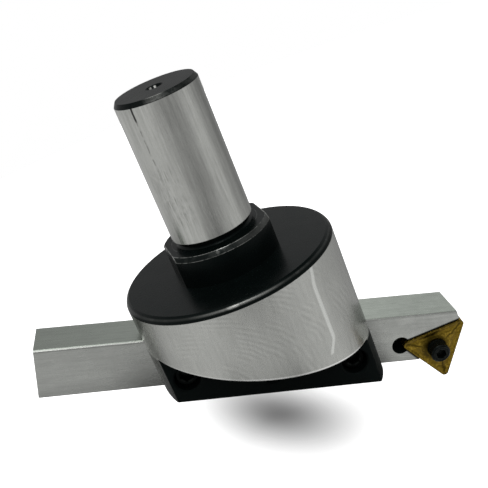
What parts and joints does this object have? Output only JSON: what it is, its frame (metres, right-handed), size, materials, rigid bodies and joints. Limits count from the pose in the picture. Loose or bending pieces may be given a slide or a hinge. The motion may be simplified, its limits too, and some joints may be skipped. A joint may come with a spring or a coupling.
{
  "type": "fly cutter",
  "caption": "Fly cutter: straight shank with a spanner collar, round head with a slanted slot, square tool bar held by set screws, screwed-on triangular insert.",
  "frame": {"origin": "on the spindle axis, in the middle of the ground length of the shank", "axes": "+Z along the shank, away from the head; +X along the bar's level run, towards the insert; -Y the way the cutting face looks"},
  "size_m": [0.1289, 0.0654, 0.1207],
  "materials": {
    "ground_arbor": "ground shank, blackened collar and end",
    "blackened_head": "ground outside, blackened top, facet and underside",
    "bar_steel": "ground",
    "coated_carbide": "gold nitride coating on carbide",
    "black_screws": "black oxide"
  },
  "bodies": {
    "head_assembly": {"arbor": "ground_arbor", "head": "blackened_head"},
    "bar": {"tool_bar": "bar_steel"},
    "insert": {"insert": "coated_carbide"},
    "insert_screw": {"insert_screw": "black_screws"},
    "clamp_inner": {"clamp_screw_inner": "black_screws"},
    "clamp_middle": {"clamp_screw_middle": "black_screws"},
    "clamp_outer": {"clamp_screw_outer": "black_screws"}
  },
  "joints": [
    {"name": "bar_slide", "type": "slide", "parent": "head_assembly", "child": "bar", "axis": [0.9449, 0, -0.3272], "range_m": [-0.008, 0.034]},
    {"name": "clamp_inner_out", "type": "slide", "parent": "head_assembly", "child": "clamp_inner", "axis": [0, -1, 0], "range_m": [0, 0.006]},
    {"name": "clamp_middle_out", "type": "slide", "parent": "head_assembly", "child": "clamp_middle", "axis": [0, -1, 0], "range_m": [0, 0.006]},
    {"name": "clamp_outer_out", "type": "slide", "parent": "head_assembly", "child": "clamp_outer", "axis": [0, -1, 0], "range_m": [0, 0.006]},
    {"name": "insert_screw_out", "type": "slide", "parent": "bar", "child": "insert_screw", "axis": [0, -0.9945, -0.1045], "range_m": [0, 0.012]},
    {"name": "insert_lift", "type": "slide", "parent": "bar", "child": "insert", "axis": [0, -0.9945, -0.1045], "range_m": [0, 0.006]}
  ],
  "couplings": [
    {"joint": "insert_lift", "follows": "insert_screw_out", "ratio": 0.5}
  ]
}
